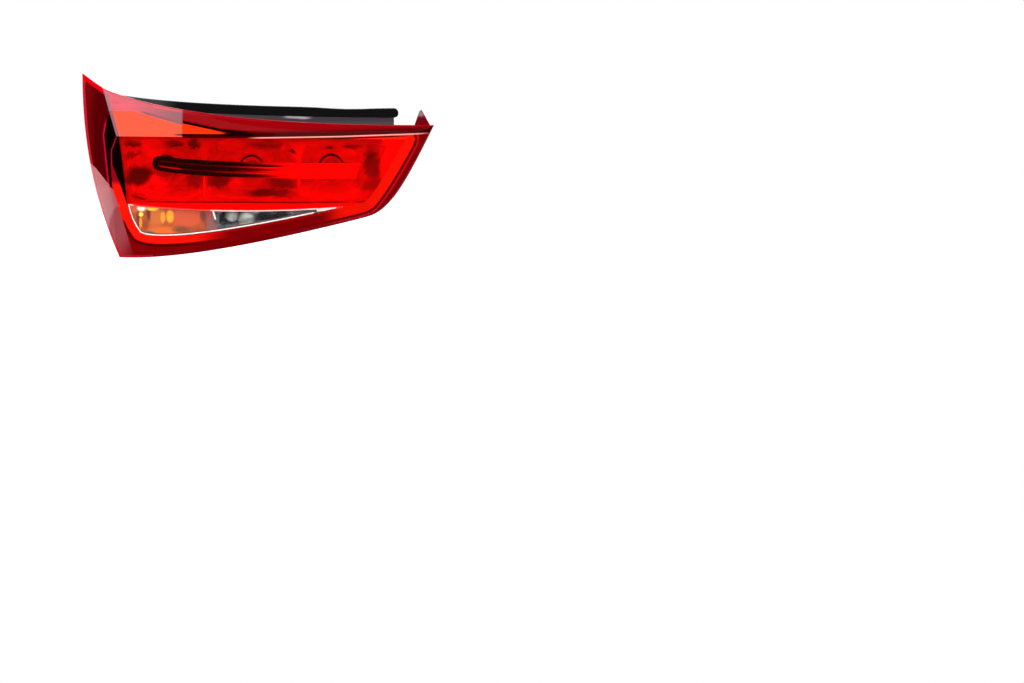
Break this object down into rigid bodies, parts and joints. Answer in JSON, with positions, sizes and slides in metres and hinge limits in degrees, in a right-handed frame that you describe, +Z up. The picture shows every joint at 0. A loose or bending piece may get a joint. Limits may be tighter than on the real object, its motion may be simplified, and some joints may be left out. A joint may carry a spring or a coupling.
{
  "type": "tail light cluster",
  "caption": "Rear lamp cluster for a hatchback's left corner: red wrap-round lens over faceted bowls, clear lower wedge, bulb carrier, socket and fixing studs at the back.",
  "frame": {"origin": "centre of the upper stud, on the face of its boss that seats on the car's body", "axes": "+Z up as fitted, +Y into the body along the studs, so that the lens faces -Y; +X from the outer flank towards the inner tip, the long way of the lamp"},
  "size_m": [0.4, 0.112, 0.2082],
  "materials": {
    "lens_red": "polished red acrylic",
    "lens_clear": "polished clear acrylic",
    "turn_filter": "polished amber acrylic",
    "bright_trim": "metallised",
    "bezel": "metallised under a red lacquer",
    "blade": "gloss",
    "blade_light": "polished light guide",
    "reflector": "metallised",
    "bulb_glass": "clear",
    "bulb_cap": "drawn",
    "bulb_amber": "clear",
    "bulb_base": "satin",
    "housing": "satin",
    "seal": "matt",
    "carrier": "satin",
    "screw": "zinc plated",
    "contact": "tinned brass",
    "stud": "zinc plated",
    "vent": "satin"
  },
  "bodies": {
    "root": {"lens_red": "lens_red", "lens_clear": "lens_clear", "turn_filter": "turn_filter", "lower_trim": "bright_trim", "bezel": "bezel", "blade": "blade", "blade_light": "blade_light", "reflector_stop": "reflector", "reflector_tail": "reflector", "reflector_fog": "reflector", "reflector_turn": "reflector", "reflector_reverse": "reflector", "bulb_stop_glass": "bulb_glass", "bulb_stop_cap": "bulb_cap", "bulb_tail_glass": "bulb_glass", "bulb_tail_cap": "bulb_cap", "bulb_fog_glass": "bulb_glass", "bulb_fog_cap": "bulb_cap", "bulb_turn_glass": "bulb_amber", "bulb_turn_base": "bulb_base", "bulb_reverse_glass": "bulb_glass", "bulb_reverse_base": "bulb_base", "housing": "housing", "body_seal": "seal", "bulb_carrier": "carrier", "carrier_gasket": "seal", "carrier_screws": "screw", "contact_ground": "contact", "contact_stop": "contact", "contact_tail": "contact", "contact_fog": "contact", "contact_turn": "contact", "contact_reverse": "contact", "studs": "stud", "stud_gaskets": "seal", "vent_caps": "vent", "bump_stops": "seal"}
  },
  "joints": []
}
